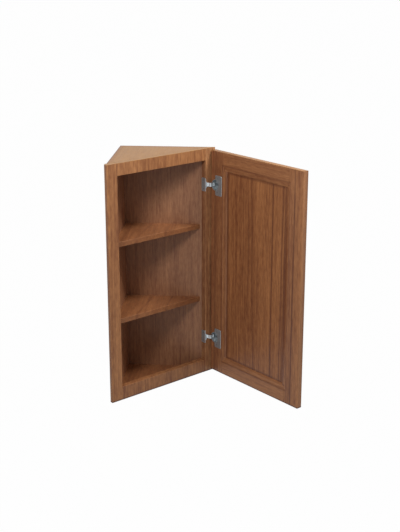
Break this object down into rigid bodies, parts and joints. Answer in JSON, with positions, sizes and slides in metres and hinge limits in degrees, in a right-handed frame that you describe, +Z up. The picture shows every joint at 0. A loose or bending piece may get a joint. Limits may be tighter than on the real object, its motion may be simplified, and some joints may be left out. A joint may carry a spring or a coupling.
{
  "type": "angled wall end cabinet",
  "caption": "Corner-cut wall end cabinet: a triangular case with shelves behind a slanted face frame, and a frame-and-panel door on concealed hinges.",
  "frame": {"origin": "middle of the face that hangs on the wall: half the cabinet's nominal width along the wall and half its height", "axes": "+Y into the wall, +Z up, +X along the wall from the side panel to the hinge end; the slanted front faces between -Y and +X"},
  "size_m": [0.5977, 0.3127, 0.762],
  "materials": {
    "frame_wood": "warm brown stained hardwood under satin lacquer",
    "case_wood": "warm brown stained veneered board under satin lacquer",
    "shelf_wood": "warm brown stained veneered board under satin lacquer",
    "door_wood": "warm brown stained hardwood under satin lacquer",
    "door_panel_wood": "warm brown stained veneered panel under satin lacquer",
    "hinge_steel": "nickel-plated pressed steel",
    "pin_steel": "bright steel wire",
    "spring_steel": "spring steel",
    "screw_steel": "zinc-plated steel"
  },
  "bodies": {
    "cabinet": {"left_stile": "frame_wood", "right_stile": "frame_wood", "top_rail": "frame_wood", "bottom_rail": "frame_wood", "side_panel": "case_wood", "back_panel": "case_wood", "top_panel": "case_wood", "bottom_panel": "case_wood", "lower_shelf": "shelf_wood", "upper_shelf": "shelf_wood", "plate_screws": "screw_steel", "upper_hinge_plate": "hinge_steel", "lower_hinge_plate": "hinge_steel"},
    "door": {"door_hinge_stile": "door_wood", "door_free_stile": "door_wood", "door_top_rail": "door_wood", "door_bottom_rail": "door_wood", "door_panel": "door_panel_wood", "hinge_pins": "pin_steel", "cup_screws": "screw_steel", "upper_hinge_cup": "hinge_steel", "lower_hinge_cup": "hinge_steel", "upper_closing_spring": "spring_steel", "lower_closing_spring": "spring_steel"}
  },
  "joints": [
    {"name": "door_hinge", "type": "hinge", "parent": "cabinet", "child": "door", "pos_m": [0.14947, -0.01623, 0], "axis": [0, 0, 1], "range_deg": [-89, 16]}
  ]
}
